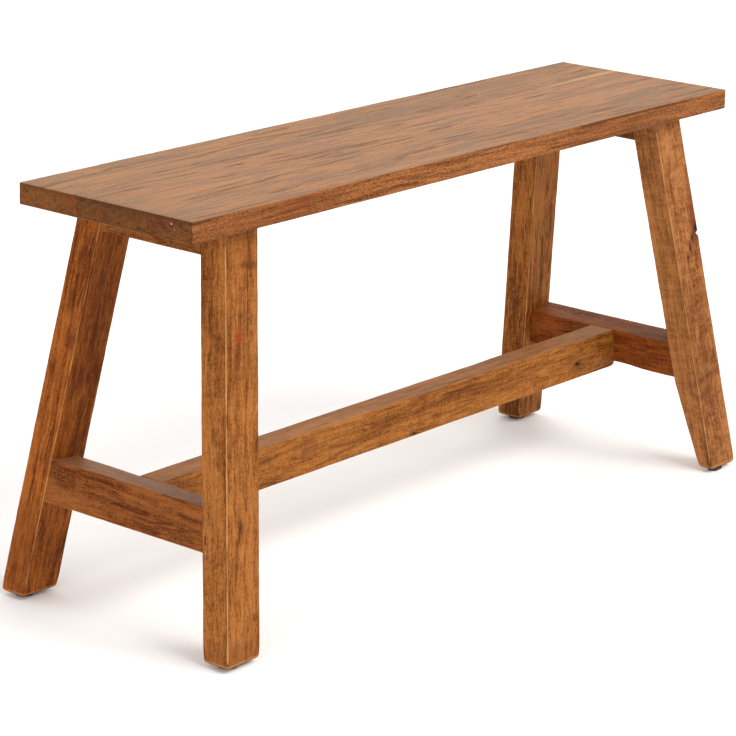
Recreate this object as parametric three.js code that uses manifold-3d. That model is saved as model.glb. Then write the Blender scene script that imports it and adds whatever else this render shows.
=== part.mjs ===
// A backless wooden bench: a two-board seat on two splayed end frames, tied by a long stretcher.
// Lengths are in millimetres and angles in degrees until toRadians turns them.
// The origin is on the floor under the middle of the bench: +X runs along the seat,
// +Y across it towards the back, and +Z up.

import * as THREE from 'three';
import { mergeVertices } from 'three/addons/utils/BufferGeometryUtils.js';
import Module from 'manifold-3d';

const wasm = await Module();
wasm.setup();

// ---- Driving dimensions ----

// Glued and fitted faces keep this gap, which stands for the glue film.
const fitGap = 0.3;
const easedEdge = 1.5;

// Seat: two boards glued edge to edge
const benchHeight = 450;
const seatLength = 900;
const seatWidth = 238;
const seatThickness = 23;
const backBoardWidth = 82;
const seatDowel = { radius: 4, length: 40, along: [-320, -110, 110, 320] };

// End frames: the outer face leans out by alongSplay, and in that plane each leg leans by crossSplay.
const alongSplay = toRadians(8.24);
const crossSplay = toRadians(8.38);
const frameReach = 383.5;
const legTopReach = 99;
const legDepth = 47;
const legWidth = 33;
const footTaper = { height: 112, width: 15 };

// Rails and stretchers, where "down" is measured along the frame's outer face from the seat
const endFrames = {
  left: { railHeight: 29.5, stretcherDown: 273.5, stretcherHeight: 45.7, thickness: 37.5 },
  right: { railHeight: 27, stretcherDown: 274.2, stretcherHeight: 42.7, thickness: 34.7 },
};
const flushRecess = 0.5;
const longStretcher = { top: 150.6, height: 45.2, width: 32 };

// Tenons: how far they go in, and how much of the section they keep
const legTenon = { length: 22, thickness: 12, shoulder: 6, inset: 12 };
const stretcherTenon = { length: 24, thickness: 12, shoulder: 7 };

// Screws up through the upper rails, in counterbored holes
const screw = { radius: 2.25, headRadius: 4.5, headHeight: 3, length: 38, across: [-50, 0, 52] };
const counterbore = { radius: 5.5, depth: 8 };

// Oval pads under the feet, each one a little off the middle of its foot towards the left end
const footPad = { length: 23, width: 20, thickness: 3.5, inset: 1.5, shift: 6 };

// Round pieces have this many flats, and a cutting shape passes the face that it cuts by overrun.
const roundSides = 16;
const overrun = 20;

// ---- Materials ----

const wood = new THREE.MeshStandardMaterial({ color: 0xa2673c, roughness: 0.55, metalness: 0 });
const paleWood = new THREE.MeshStandardMaterial({ color: 0xc79c68, roughness: 0.65, metalness: 0 });
const rubber = new THREE.MeshStandardMaterial({ color: 0x15130f, roughness: 0.7, metalness: 0 });
const steel = new THREE.MeshStandardMaterial({ color: 0xb5a878, roughness: 0.35, metalness: 0.9 });

// ---- Levels and planes ----

const seatUnderside = benchHeight - seatThickness;
const legFoot = footPad.thickness + fitGap;
const glueLine = seatWidth / 2 - backBoardWidth;
const legTopPlane = levelPlane(seatUnderside - fitGap);
const legFootPlane = levelPlane(legFoot);

function toRadians(degrees) {
  return THREE.MathUtils.degToRad(degrees);
}

function levelPlane(height) {
  return new THREE.Plane(new THREE.Vector3(0, 0, 1), -height);
}

// ---- Joining and cutting ----

function toSolid(geometry) {
  const shell = geometry.clone();
  shell.deleteAttribute('normal');
  shell.deleteAttribute('uv');
  const merged = mergeVertices(shell, 1e-3);
  return new wasm.Manifold(new wasm.Mesh({
    numProp: 3,
    vertProperties: new Float32Array(merged.attributes.position.array),
    triVerts: new Uint32Array(merged.index.array),
  }));
}

function toGeometry(solid) {
  const mesh = solid.getMesh();
  const geometry = new THREE.BufferGeometry();
  geometry.setAttribute('position', new THREE.BufferAttribute(mesh.vertProperties, 3));
  geometry.setIndex(new THREE.BufferAttribute(mesh.triVerts, 1));
  geometry.computeVertexNormals();
  return geometry;
}

function cut(body, ...tools) {
  return toGeometry(tools.reduce((solid, tool) => solid.subtract(toSolid(tool)), toSolid(body)));
}

function join(body, ...others) {
  return toGeometry(others.reduce((solid, other) => solid.add(toSolid(other)), toSolid(body)));
}

// ---- Basic shapes ----

function boxBetween(low, high) {
  const size = high.map((value, axis) => value - low[axis]);
  const middle = high.map((value, axis) => (value + low[axis]) / 2);
  return new THREE.BoxGeometry(...size).translate(...middle);
}

// A rectangle from low to high with its four corners cut off by ease.
function easedRectangle(low, high, ease) {
  const outline = new THREE.Shape();
  outline.moveTo(low[0] + ease, low[1]);
  outline.lineTo(high[0] - ease, low[1]);
  outline.lineTo(high[0], low[1] + ease);
  outline.lineTo(high[0], high[1] - ease);
  outline.lineTo(high[0] - ease, high[1]);
  outline.lineTo(low[0] + ease, high[1]);
  outline.lineTo(low[0], high[1] - ease);
  outline.lineTo(low[0], low[1] + ease);
  return outline;
}

function polygon(points) {
  return new THREE.Shape(points.map(([x, y]) => new THREE.Vector2(x, y)));
}

function rectangle(low, high) {
  return polygon([low, [high[0], low[1]], high, [low[0], high[1]]]);
}

// Extrudes an outline given as (x, z) along Y, from -reach to +reach.
function extrudeAcross(outline, reach) {
  const geometry = new THREE.ExtrudeGeometry(outline, { depth: 2 * reach, bevelEnabled: false });
  return geometry.rotateX(Math.PI / 2).translate(0, reach, 0);
}

// Extrudes an outline given as (y, z) along X, from -reach to +reach.
function extrudeAlong(outline, reach) {
  const geometry = new THREE.ExtrudeGeometry(outline, { depth: 2 * reach, bevelEnabled: false });
  return geometry.rotateX(Math.PI / 2).rotateZ(Math.PI / 2).translate(-reach, 0, 0);
}

function uprightCylinder(radius, bottom, top) {
  const geometry = new THREE.CylinderGeometry(radius, radius, top - bottom, roundSides);
  return geometry.rotateX(Math.PI / 2).translate(0, 0, (top + bottom) / 2);
}

function namedMesh(name, geometry, material) {
  const mesh = new THREE.Mesh(geometry, material);
  mesh.name = name;
  return mesh;
}

// ---- Where the end frames and the legs stand ----

// End-frame space: the origin is on the outer face at the seat's underside, +X out of the face
// and +Z up the face. The left frame is the right one turned half round.
function endFramePlace(end) {
  const turn = new THREE.Matrix4().makeRotationZ(end === 'left' ? Math.PI : 0);
  const lean = new THREE.Matrix4().makeRotationY(-alongSplay);
  const lift = new THREE.Matrix4().makeTranslation(frameReach, 0, seatUnderside);
  return turn.multiply(lift).multiply(lean);
}

// Leg space, inside an end frame: +Z up the leg, with the section reaching from the outer
// top corner inwards. side is +1 or -1 along the frame's own Y.
function legPlace(side) {
  const lean = new THREE.Matrix4().makeRotationX(side * crossSplay);
  return new THREE.Matrix4().makeTranslation(0, side * legTopReach, 0).multiply(lean);
}

function frameSideOf(end, row) {
  const towardsBack = row === 'back' ? 1 : -1;
  return end === 'left' ? -towardsBack : towardsBack;
}

// ---- Legs ----

// Slides each vertex along the leg until the ends lie in the two given level planes.
function trimEnds(geometry, place, topPlane, footPlane) {
  const toLeg = place.clone().invert();
  const planes = [footPlane, topPlane].map((plane) => plane.clone().applyMatrix4(toLeg));
  const points = geometry.attributes.position;
  const vertex = new THREE.Vector3();
  for (let index = 0; index < points.count; index += 1) {
    vertex.fromBufferAttribute(points, index);
    const { normal, constant } = planes[vertex.z > 0 ? 1 : 0];
    const height = -(normal.x * vertex.x + normal.y * vertex.y + constant) / normal.z;
    points.setZ(index, height);
  }
  return geometry;
}

// A leg's stick in leg space: its section's outline, carried from the foot to the top plane.
function legStick(end, side, outline, topPlane) {
  const stick = new THREE.ExtrudeGeometry(outline, { depth: 2, bevelEnabled: false });
  const place = endFramePlace(end).multiply(legPlace(side));
  return trimEnds(stick.translate(0, 0, -1), place, topPlane, legFootPlane);
}

// The lowest and highest corners of a leg's section, grown by spare all round.
function legSection(side, spare) {
  const across = [-side * legWidth, 0].sort((a, b) => a - b);
  return [[-legDepth - spare, across[0] - spare], [spare, across[1] + spare]];
}

// The wedge that a tapered leg loses from its inner side, in leg space.
function taperWedge(end, side) {
  const start = seatUnderside - footTaper.height;
  const foot = seatUnderside - legFoot;
  const along = 1 / (Math.cos(alongSplay) * Math.cos(crossSplay));
  const slope = (legWidth - footTaper.width) / ((foot - start) * along);
  const outline = polygon([
    [-side * legWidth, -start * along],
    [-side * (footTaper.width - slope * overrun), -foot * along - overrun],
    [-side * (legWidth + overrun), -foot * along - overrun],
    [-side * (legWidth + overrun), -start * along],
  ]);
  return extrudeAlong(outline, 2 * legDepth);
}

function tenonLow(end) {
  return -endFrames[end].thickness / 2 - legTenon.thickness / 2;
}

// The bar that forms both tenons of a rail or stretcher, in end-frame space, grown by spare.
function tenonBar(end, topZ, bottomZ, spare) {
  const middle = (topZ + bottomZ) / 2;
  const reach = legInnerReach(middle) + legTenon.length + spare;
  const low = [tenonLow(end) - spare, -reach, bottomZ - spare];
  const high = [tenonLow(end) + legTenon.thickness + spare, reach, topZ + spare];
  return boxBetween(low, high);
}

// How far the inner side of a leg is from the frame's middle at a height on the outer face.
function legInnerReach(z) {
  return legTopReach - z * Math.tan(crossSplay) - legWidth / Math.cos(crossSplay);
}

function railTenon(end, spare) {
  const { railHeight } = endFrames[end];
  const top = -legTenon.shoulder / 2;
  return tenonBar(end, top, -railHeight + legTenon.shoulder / 2, spare);
}

function stretcherLegTenon(end, spare) {
  const { stretcherDown, stretcherHeight } = endFrames[end];
  const top = -stretcherDown - legTenon.shoulder;
  const bottom = -stretcherDown - stretcherHeight + legTenon.shoulder;
  return tenonBar(end, top, bottom, spare);
}

function makeLeg(end, row) {
  const side = frameSideOf(end, row);
  const toLeg = legPlace(side).invert();
  const cutters = [railTenon(end, fitGap), stretcherLegTenon(end, fitGap)];
  cutters.forEach((cutter) => cutter.applyMatrix4(toLeg));
  if (end === 'right' && row === 'front') {
    cutters.push(taperWedge(end, side));
  }
  const stick = legStick(end, side, easedRectangle(...legSection(side, 0), easedEdge), legTopPlane);
  const mesh = namedMesh(`leg_${row}_${end}`, cut(stick, ...cutters), wood);
  mesh.applyMatrix4(legPlace(side));
  return mesh;
}

// ---- Rails and stretchers of an end frame ----

// Both legs of an end frame in end-frame space, grown by the fit gap, for cutting shoulders.
function legShoulders(end) {
  const topPlane = levelPlane(seatUnderside + overrun);
  return [1, -1].map((side) => {
    const outline = rectangle(...legSection(side, fitGap));
    return legStick(end, side, outline, topPlane).applyMatrix4(legPlace(side));
  });
}

function betweenLegs(end, outline, middleZ) {
  const reach = legInnerReach(middleZ) + legTenon.inset;
  return cut(extrudeAcross(outline, reach), ...legShoulders(end));
}

function makeUpperRail(end) {
  const { railHeight, thickness } = endFrames[end];
  const topSlope = Math.tan(alongSplay);
  const inner = -flushRecess - thickness;
  const outline = polygon([
    [inner, -railHeight],
    [-flushRecess, -railHeight],
    [-flushRecess, flushRecess * topSlope - fitGap],
    [inner, -inner * topSlope - fitGap],
  ]);
  const body = betweenLegs(end, outline, -railHeight);
  const toFrame = endFramePlace(end).invert();
  const holes = railScrews(end).map((place) => screwHole(place).applyMatrix4(toFrame));
  const rail = cut(join(body, railTenon(end, 0)), ...holes);
  return namedMesh(`upper_rail_${end}`, rail, wood);
}

function makeEndStretcher(end) {
  const { stretcherDown, stretcherHeight, thickness } = endFrames[end];
  const low = [-flushRecess - thickness, -stretcherDown - stretcherHeight];
  const high = [-flushRecess, -stretcherDown];
  const outline = easedRectangle(low, high, easedEdge);
  const body = betweenLegs(end, outline, low[1]);
  const mortise = longTenonBar(fitGap).applyMatrix4(endFramePlace(end).invert());
  const stretcher = cut(join(body, stretcherLegTenon(end, 0)), mortise);
  return namedMesh(`end_stretcher_${end}`, stretcher, wood);
}

function makeEndFrame(end) {
  const frame = new THREE.Group();
  frame.add(makeLeg(end, 'front'), makeLeg(end, 'back'));
  frame.add(makeUpperRail(end), makeEndStretcher(end));
  frame.applyMatrix4(endFramePlace(end));
  return frame;
}

// ---- Long stretcher ----

// How far the inner face of an end stretcher is from the bench's middle at a level.
function endStretcherReach(end, level) {
  const thickness = endFrames[end].thickness + flushRecess;
  const outerFace = frameReach + (seatUnderside - level) * Math.tan(alongSplay);
  return outerFace - thickness / Math.cos(alongSplay);
}

// The bar that forms both tenons of the long stretcher, grown by spare.
function longTenonBar(spare) {
  const { top, height } = longStretcher;
  const half = stretcherTenon.thickness / 2;
  const reach = (end) => endStretcherReach(end, top - height / 2) + stretcherTenon.length;
  const low = [-reach('left'), -half, top - height + stretcherTenon.shoulder];
  const high = [reach('right'), half, top - stretcherTenon.shoulder];
  return boxBetween(low.map((value) => value - spare), high.map((value) => value + spare));
}

// An end stretcher's block in bench space, grown by the fit gap, for cutting the shoulders.
function endStretcherBlock(end) {
  const { stretcherDown, stretcherHeight, thickness } = endFrames[end];
  const low = [-flushRecess - thickness - fitGap, -stretcherDown - stretcherHeight - overrun];
  const block = rectangle(low, [overrun, overrun - stretcherDown]);
  return extrudeAcross(block, longStretcher.width).applyMatrix4(endFramePlace(end));
}

function makeLongStretcher() {
  const { top, height, width } = longStretcher;
  const outline = easedRectangle([-width / 2, top - height], [width / 2, top], easedEdge);
  const reach = Math.max(...['left', 'right'].map((end) => endStretcherReach(end, top - height)));
  const bar = extrudeAlong(outline, reach);
  const body = cut(bar, endStretcherBlock('left'), endStretcherBlock('right'));
  return namedMesh('long_stretcher', join(body, longTenonBar(0)), wood);
}

// ---- Seat ----

// The whole seat slab in bench space, with its top and bottom edges eased all round.
function seatSlab() {
  const x = seatLength / 2 - easedEdge;
  const y = seatWidth / 2 - easedEdge;
  const slab = new THREE.ExtrudeGeometry(rectangle([-x, -y], [x, y]), {
    depth: seatThickness - 2 * easedEdge,
    bevelThickness: easedEdge,
    bevelSize: easedEdge,
    bevelSegments: 1,
  });
  return slab.translate(0, 0, seatUnderside + easedEdge);
}

// Everything on one side of the glue line, to cut away: side +1 is behind it, -1 in front.
function slabBeyondGlueLine(side) {
  const near = glueLine - side * fitGap / 2;
  const far = side * seatWidth;
  const [low, high] = [near, far].sort((a, b) => a - b);
  return boxBetween([-seatLength, low, 0], [seatLength, high, 2 * benchHeight]);
}

function seatDowelAt(x, spare) {
  const { radius, length } = seatDowel;
  const pin = new THREE.CylinderGeometry(radius + spare, radius + spare, length + 2 * spare, roundSides);
  return pin.translate(x, glueLine, benchHeight - seatThickness / 2);
}

function makeSeatBoard(name, cutSide) {
  const dowelHoles = seatDowel.along.map((x) => seatDowelAt(x, fitGap));
  const screwHoles = ['left', 'right'].flatMap((end) => railScrews(end).map(screwHole));
  const board = cut(seatSlab(), slabBeyondGlueLine(cutSide), ...dowelHoles, ...screwHoles);
  return namedMesh(name, board, wood);
}

function makeSeatDowel(x, index) {
  return namedMesh(`seat_dowel_${index + 1}`, seatDowelAt(x, 0), paleWood);
}

// ---- Screws ----

// Where the screws of one end stand: the middle of the upper rail, across the bench.
function railScrews(end) {
  const towards = end === 'left' ? -1 : 1;
  const x = towards * (frameReach - flushRecess - endFrames[end].thickness / 2);
  return screw.across.map((y) => ({ x, y, end }));
}

// The lowest point of a screw: its head sits in the counterbore, sunk above the rail's underside.
function screwBottom(end) {
  return seatUnderside - endFrames[end].railHeight + counterbore.depth;
}

function screwHole({ x, y, end }) {
  const bottom = screwBottom(end);
  const headTop = bottom + screw.headHeight + fitGap;
  const shank = uprightCylinder(screw.radius + fitGap, bottom, bottom + screw.length + fitGap);
  const head = uprightCylinder(counterbore.radius, bottom - overrun, headTop);
  return join(shank, head).translate(x, y, 0);
}

function makeScrew({ x, y, end }, index) {
  const bottom = screwBottom(end);
  const { radius, headRadius, headHeight, length } = screw;
  const recessRadius = headRadius / 3;
  const profile = [
    [0, recessRadius], [recessRadius, 0], [headRadius, 0], [headRadius, headHeight],
    [radius, headHeight], [radius, length - 3 * radius], [0, length],
  ].map(([across, up]) => new THREE.Vector2(across, up));
  const geometry = new THREE.LatheGeometry(profile, roundSides).rotateX(Math.PI / 2);
  return namedMesh(`seat_screw_${end}_${index + 1}`, geometry.translate(x, y, bottom), steel);
}

// ---- Foot pads ----

// The middle of a foot's underside in bench space, and its width across the bench.
function footMiddle(end, row) {
  const side = frameSideOf(end, row);
  const place = endFramePlace(end).multiply(legPlace(side));
  const tapered = end === 'right' && row === 'front';
  const width = tapered ? footTaper.width : legWidth;
  const plane = legFootPlane.clone().applyMatrix4(place.clone().invert());
  const middle = new THREE.Vector3(-legDepth / 2, -side * width / 2, 0);
  middle.z = -(plane.normal.x * middle.x + plane.normal.y * middle.y + plane.constant) / plane.normal.z;
  return { middle: middle.applyMatrix4(place), width };
}

function makeFootPad(end, row) {
  const { middle, width } = footMiddle(end, row);
  const radius = Math.min(footPad.width, width - 2 * footPad.inset) / 2;
  const straight = footPad.length / 2 - radius;
  const outline = new THREE.Shape();
  outline.absarc(straight, 0, radius, -Math.PI / 2, Math.PI / 2);
  outline.absarc(-straight, 0, radius, Math.PI / 2, 3 * Math.PI / 2);
  const pad = new THREE.ExtrudeGeometry(outline, {
    depth: footPad.thickness,
    curveSegments: roundSides / 2,
    bevelEnabled: false,
  });
  return namedMesh(`foot_pad_${row}_${end}`, pad.translate(middle.x - footPad.shift, middle.y, 0), rubber);
}

// ---- The bench ----

function makeBench() {
  const bench = new THREE.Group();
  bench.add(makeSeatBoard('seat_board_front', 1), makeSeatBoard('seat_board_back', -1));
  bench.add(...seatDowel.along.map(makeSeatDowel));
  for (const end of ['left', 'right']) {
    bench.add(makeEndFrame(end));
    bench.add(...railScrews(end).map(makeScrew));
    bench.add(makeFootPad(end, 'front'), makeFootPad(end, 'back'));
  }
  bench.add(makeLongStretcher());
  return bench;
}

export default makeBench();
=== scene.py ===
"""The looks of a backless wooden bench: worn, oiled timber around its CAD frame.

Lengths are in metres. X runs along the seat, Y across it towards the back, and Z up.
Every timber is a rounded block along its own grain, cut to its neighbours' faces, with its joints.
"""

import math
from collections import namedtuple
from itertools import product

import bmesh
import bpy
import numpy as np
from mathutils import Matrix, Vector, noise


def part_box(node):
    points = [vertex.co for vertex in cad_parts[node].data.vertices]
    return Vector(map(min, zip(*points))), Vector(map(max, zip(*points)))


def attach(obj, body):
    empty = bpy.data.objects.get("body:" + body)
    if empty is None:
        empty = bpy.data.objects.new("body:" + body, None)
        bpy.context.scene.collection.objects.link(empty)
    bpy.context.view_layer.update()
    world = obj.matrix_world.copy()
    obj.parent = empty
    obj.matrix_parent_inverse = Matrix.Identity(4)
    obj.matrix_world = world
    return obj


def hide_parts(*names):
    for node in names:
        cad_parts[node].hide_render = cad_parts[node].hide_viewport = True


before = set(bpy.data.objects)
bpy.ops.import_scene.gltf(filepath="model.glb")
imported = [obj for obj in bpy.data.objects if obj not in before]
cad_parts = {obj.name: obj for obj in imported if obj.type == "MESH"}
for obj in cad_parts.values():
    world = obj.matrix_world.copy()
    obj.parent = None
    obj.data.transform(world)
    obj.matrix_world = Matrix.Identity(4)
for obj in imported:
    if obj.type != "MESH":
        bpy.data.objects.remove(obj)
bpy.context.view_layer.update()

MM = 0.001
X, Y, Z = Vector((1, 0, 0)), Vector((0, 1, 0)), Vector((0, 0, 1))
ENDS = ("left", "right")
ROWS = ("front", "back")

# ---- Camera ----

CAMERA_PLACE = (-2.4228, -1.9971, 1.1271)
CAMERA_YAW = math.radians(49.94)
CAMERA_PITCH = math.radians(-16.73)
CAMERA_ROLL = math.radians(1.06)
CAMERA_LENS_MM = 145.25
CAMERA_SENSOR_MM = 36
CAMERA_SIGHT = 100


def add_camera():
    data = bpy.data.cameras.new("camera")
    data.lens = CAMERA_LENS_MM
    data.sensor_width = CAMERA_SENSOR_MM
    data.clip_end = CAMERA_SIGHT
    camera = bpy.data.objects.new("camera", data)
    turn = Matrix.Rotation(-CAMERA_YAW, 4, "Z") @ Matrix.Rotation(math.pi / 2 + CAMERA_PITCH, 4, "X")
    camera.matrix_world = Matrix.Translation(CAMERA_PLACE) @ turn @ Matrix.Rotation(CAMERA_ROLL, 4, "Z")
    bpy.context.scene.collection.objects.link(camera)
    bpy.context.scene.camera = camera


# ---- Studio ----

FLOOR_REACH = 14
FLOOR_COLOUR = (0.96, 0.96, 0.96, 1)
FLOOR_ROUGHNESS = 0.8
WORLD_COLOUR = (1.0, 1.0, 1.0, 1)
WORLD_STRENGTH = 0.75
LIT_PLACE = Vector((0, 0, 0.25))
# Each soft box: where it stands, its two sides, its power in watts and its colour
SOFT_BOXES = {
    "key_light": ((0.6, -3.2, 3.4), (3.2, 2.6), 160, (1.0, 0.985, 0.96)),
    "side_light": ((-3.6, -1.2, 0.9), (2.6, 1.6), 60, (1.0, 0.98, 0.95)),
    "back_light": ((2.6, 3.0, 1.9), (6.0, 3.0), 70, (1.0, 0.91, 0.79)),
}


def add_soft_box(name, place, size, power, colour):
    """A soft rectangle of light that looks at the middle of the bench."""
    light = bpy.data.lights.new(name, "AREA")
    light.shape = "RECTANGLE"
    light.size, light.size_y = size
    light.energy = power
    light.color = colour
    lamp = bpy.data.objects.new(name, light)
    lamp.location = place
    lamp.rotation_euler = (LIT_PLACE - Vector(place)).to_track_quat("-Z", "Y").to_euler()
    bpy.context.scene.collection.objects.link(lamp)


def add_studio():
    world = bpy.data.worlds.new("studio")
    world.use_nodes = True
    background = world.node_tree.nodes["Background"]
    background.inputs["Color"].default_value = WORLD_COLOUR
    background.inputs["Strength"].default_value = WORLD_STRENGTH
    bpy.context.scene.world = world
    bpy.context.scene.view_settings.view_transform = "Standard"
    for name, settings in SOFT_BOXES.items():
        add_soft_box(name, *settings)
    corners = [(-FLOOR_REACH, -FLOOR_REACH, 0), (FLOOR_REACH, -FLOOR_REACH, 0),
               (FLOOR_REACH, FLOOR_REACH, 0), (-FLOOR_REACH, FLOOR_REACH, 0)]
    mesh = bpy.data.meshes.new("floor")
    mesh.from_pydata(corners, [], [(0, 1, 2, 3)])
    floor = new_piece("floor", mesh)
    shade = Shade("studio_floor")
    shade.surface(FLOOR_COLOUR, FLOOR_ROUGHNESS)
    mesh.materials.append(shade.material)


# ---- Materials ----

MIDDLE = 0.5
# Nearly all of a noise lies between these values
NOISE_RANGE = (0.28, 0.72)


class Shade:
    """One material's nodes. The methods that add a node return its output socket."""

    def __init__(self, name):
        self.material = bpy.data.materials.new(name)
        self.material.use_nodes = True
        self.tree = self.material.node_tree
        self.tree.nodes.clear()

    def add(self, kind, inputs, output=0, **settings):
        node = self.tree.nodes.new(kind)
        for key, value in settings.items():
            setattr(node, key, value)
        for key, value in inputs.items():
            if isinstance(value, bpy.types.NodeSocket):
                self.tree.links.new(value, node.inputs[key])
            else:
                node.inputs[key].default_value = value
        return node.outputs[output] if node.outputs else None

    def attribute(self, name):
        return self.add("ShaderNodeAttribute", {}, "Vector", attribute_name=name)

    def math(self, operation, *values):
        return self.add("ShaderNodeMath", dict(enumerate(values)), operation=operation)

    def vector(self, operation, *values):
        output = "Value" if operation == "LENGTH" else "Vector"
        return self.add("ShaderNodeVectorMath", dict(enumerate(values)), output, operation=operation)

    def split(self, vector):
        node = self.tree.nodes.new("ShaderNodeSeparateXYZ")
        self.tree.links.new(vector, node.inputs[0])
        return node.outputs[:]

    def spread(self, value, low, high, to_low=0.0, to_high=1.0):
        """Turns low..high into to_low..to_high with soft ends, and holds it there beyond them."""
        inputs = {"Value": value, "From Min": low, "From Max": high, "To Min": to_low, "To Max": to_high}
        return self.add("ShaderNodeMapRange", inputs, interpolation_type="SMOOTHSTEP")

    def swing(self, value, strength):
        """Turns a noise into one that swings about zero, by this strength from end to end."""
        return self.spread(value, *NOISE_RANGE, -strength / 2, strength / 2)

    def flatten(self, tone, contrast):
        """Keeps this share of the tone's contrast about its middle."""
        return self.math("MULTIPLY_ADD", self.math("SUBTRACT", tone, MIDDLE), contrast, MIDDLE)

    def noise(self, vector, waves, detail=2.0, rough=0.5, output="Fac"):
        """Noise over the vector, with this many waves to the metre along each of its axes."""
        inputs = {"Vector": self.vector("MULTIPLY", vector, waves), "Scale": 1.0, "Detail": detail,
                  "Roughness": rough}
        return self.add("ShaderNodeTexNoise", inputs, output)

    def drifted(self, place, noise_colour, reach):
        """The place moved across and through the grain by the noise, by up to half of reach each way."""
        drift = self.vector("SUBTRACT", noise_colour, (MIDDLE, MIDDLE, MIDDLE))
        return self.vector("ADD", place, self.vector("MULTIPLY", drift, (0, reach, reach)))

    def mix(self, factor, one, two, mode="MIX"):
        inputs = {0: factor, 6: one, 7: two}
        return self.add("ShaderNodeMix", inputs, 2, data_type="RGBA", blend_type=mode)

    def blend(self, factor, stops):
        """Runs through the colours at their places between 0 and 1."""
        node = self.tree.nodes.new("ShaderNodeValToRGB")
        elements = node.color_ramp.elements
        while len(elements) < len(stops):
            elements.new(MIDDLE)
        for element, (place, colour) in zip(elements, stops):
            element.position = place
            element.color = colour
        self.tree.links.new(factor, node.inputs[0])
        return node.outputs["Color"]

    def bump(self, height, strength, distance):
        return self.add("ShaderNodeBump", {"Height": height, "Strength": strength, "Distance": distance})

    def surface(self, colour, roughness, metallic=0.0, specular=0.5, normal=None):
        inputs = {"Base Color": colour, "Roughness": roughness, "Metallic": metallic,
                  "Specular IOR Level": specular}
        if normal:
            inputs["Normal"] = normal
        surface = self.add("ShaderNodeBsdfPrincipled", inputs)
        self.add("ShaderNodeOutputMaterial", {"Surface": surface})


def paint(red, green, blue):
    """A colour given as 0-255 screen values, as the linear colour that the shader wants."""
    values = [value / 255 for value in (red, green, blue)]
    return (*[value / 12.92 if value < 0.04045 else ((value + 0.055) / 1.055) ** 2.4 for value in values], 1)


def grey(value):
    """A colour with the same linear value in every channel."""
    return value, value, value, 1


# ---- Wood ----

WOOD_SHEEN = 0.06
WOOD_ROUGHNESS = (0.44, 0.7)
# The darkest and lightest tones, as shares of a timber's middle colour
DARKER = (0.40, 0.31, 0.22, 1)
LIGHTER = (1.6, 1.8, 2.3, 1)
MEAN_TONE = 0.56
# How far apart two timbers' seeds set their noises
SEED_STEPS = (0.37, 0.11, 0.23)

# One noise of the figure: its waves to the metre along the grain and around it, its detail and
# roughness, and whether a timber with long figure draws it out
Figure = namedtuple("Figure", "along around detail rough drawn_out", defaults=(2.0, 0.5, True))
SWAY = Figure(9, 20)
CLOUD = Figure(6, 30, 4, 0.6)
CURL = Figure(130, 46, 4, 0.65, drawn_out=False)
FIBRE = Figure(34, 300, 4, 0.65)
LINE = Figure(20, 290, 3, 0.6)
TICK = Figure(70, 900, 1)
SPECK = Figure(420, 1500, 2, 0.75, drawn_out=False)
SWAY_REACH = 22 * MM
# The noise values where dark lines and open pores start to show and are full
LINE_SHOWS = (0.57, 0.68)
TICK_SHOWS = (0.57, 0.66)
TICK_SHARE = 0.25
# How far the surface faces up, where the sides' calmer figure ends and where the dust and painted sheen lie
STEEP_TO_LEVEL = (0.3, 0.9)
DUST_AND_SHEEN_FACING = (0.6, 0.95)
# The pale colour on faces that look up: dust, and a painted sheen that makes the tops lighter and paler
DUST_AND_SHEEN = paint(196, 158, 122)

# Growth rings: how far apart, how bent and how cone-shaped they are, and one ring from edge to edge
RING_PITCH = 12 * MM
RING_BEND = 34 * MM
RING_BEND_WAVES = (2.4, 12, 12)
RING_CONE = 0.03
RING_WANDER = 0.7
RING_WANDER_WAVES = (9, 80, 80)
RING_PATCH_WAVES = (5, 30, 30)
RING_PATCH = (0.3, 0.6)
RING_WEAKEST = 0.35
RING_MEAN = 0.4
RING_PROFILE = ((0, 0.1), (0.5, 0.3), (0.8, 1), (0.93, 0.7), (1, 0.1))

# Knots and marks. An edge is where it starts to show and where it is full, in knot or mark sizes.
KNOT_STRETCH = 0.5
KNOT_FADE = 0.3
KNOT_PUSH = 1.6
KNOT_RAGGED = 0.9
KNOT_HALO_EDGE = (2.2, 1.1)
KNOT_CORE_EDGE = (1.15, 0.75)
KNOT_HALO_SHARE = 0.5
KNOT_HALO = paint(86, 40, 18)
KNOT_CORE = paint(44, 22, 10)
MARK_RAGGED = 1.6
MARK_EDGE = (2.1, 1.2)
RAGGED_WAVES = (110, 240, 240)

# Wear, painted highlight and painted shade. Each pair is the distance from an edge or an end where it starts
# and where it is full.
# Pale edges: wear, and a painted highlight where the timber's low faces meet
WORN_AND_HIGHLIT_EDGE = paint(198, 144, 90)
# A band of painted shade just in from the edges where the low faces meet, beside the painted highlight
EDGE_SHADE_TINT = (0.45, 0.4, 0.34, 1)
EDGE_SHADE_BAND = (4.6 * MM, 2.2 * MM)
EDGE_SHADE_SHARE = 0.4
RUBBED_AND_HIGHLIT_BAND = (2.3 * MM, 1.4 * MM)
FAR_RUBBED_BAND = (1.8 * MM, 1.0 * MM)
SCUFFED_BAND = (2.0 * MM, 0.9 * MM)
SCUFF_HEIGHT = 3.5 * MM
PATCHY_WAVES = (60, 120, 120)
PATCHY_BY = 0.9 * MM
END_FACE = (1.0 * MM, 0.2 * MM)
END_CALM = 0.5

# The relief: what each kind of figure adds to the height, and how deep it is in all
SPECK_HEIGHT = 0.6
FIBRE_HEIGHT = 0.8
TICK_HEIGHT = -0.5
LINE_HEIGHT = -2.5
RELIEF_STRENGTH = 0.6
RELIEF_DEPTH = 0.4 * MM
LINE_DULLNESS = 0.2
DULLNESS_RANGE = (0.25, 0.9)


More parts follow.
